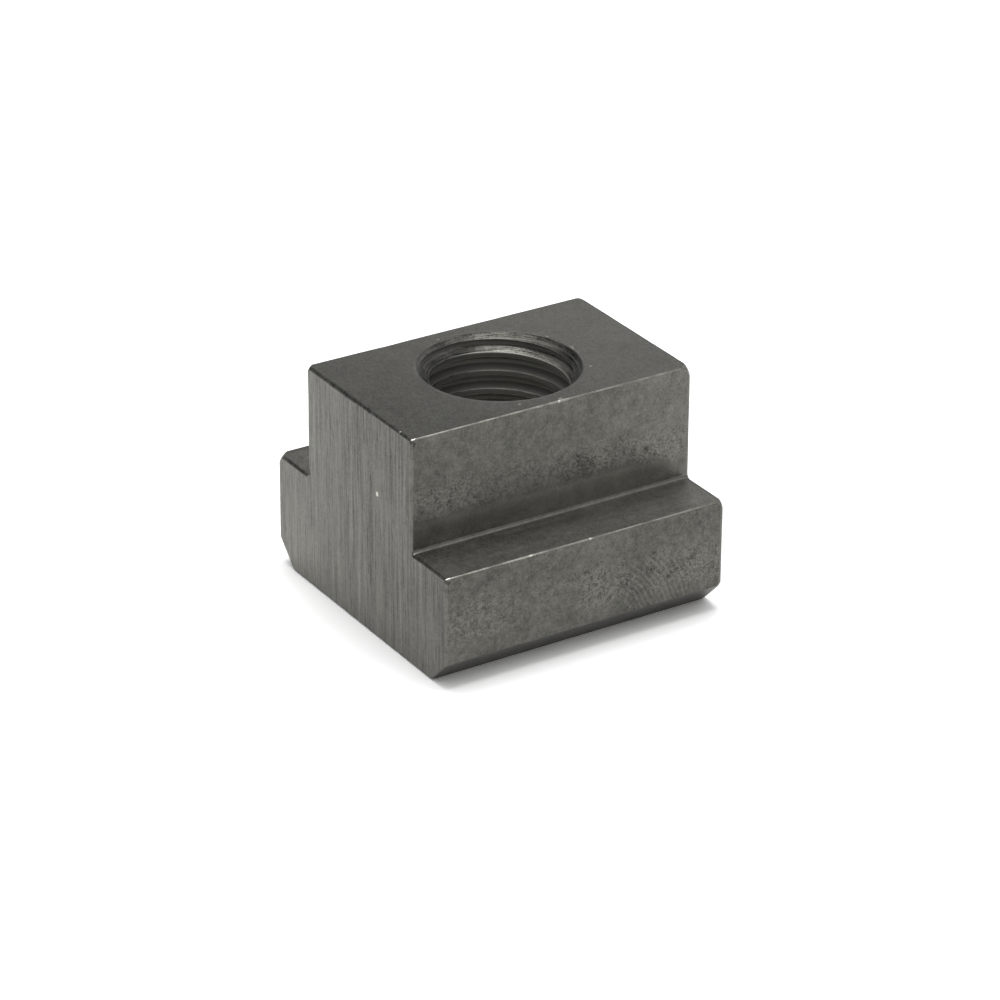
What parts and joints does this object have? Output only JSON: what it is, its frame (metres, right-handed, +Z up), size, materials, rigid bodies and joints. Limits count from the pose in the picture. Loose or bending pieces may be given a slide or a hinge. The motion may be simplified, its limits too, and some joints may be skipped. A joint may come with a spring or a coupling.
{
  "type": "t slot nut",
  "caption": "Steel T-slot nut: a square block of T section with a central tapped through hole, black oxide finish.",
  "frame": {"origin": "middle of the foot, the lower face of the flange", "axes": "X across the slot, Y along the slot, +Z up the tapped hole towards the slot's mouth"},
  "size_m": [0.032, 0.032, 0.024],
  "materials": {
    "black_oxide_steel": "satin"
  },
  "bodies": {
    "root": {"t_slot_nut": "black_oxide_steel"}
  },
  "joints": []
}
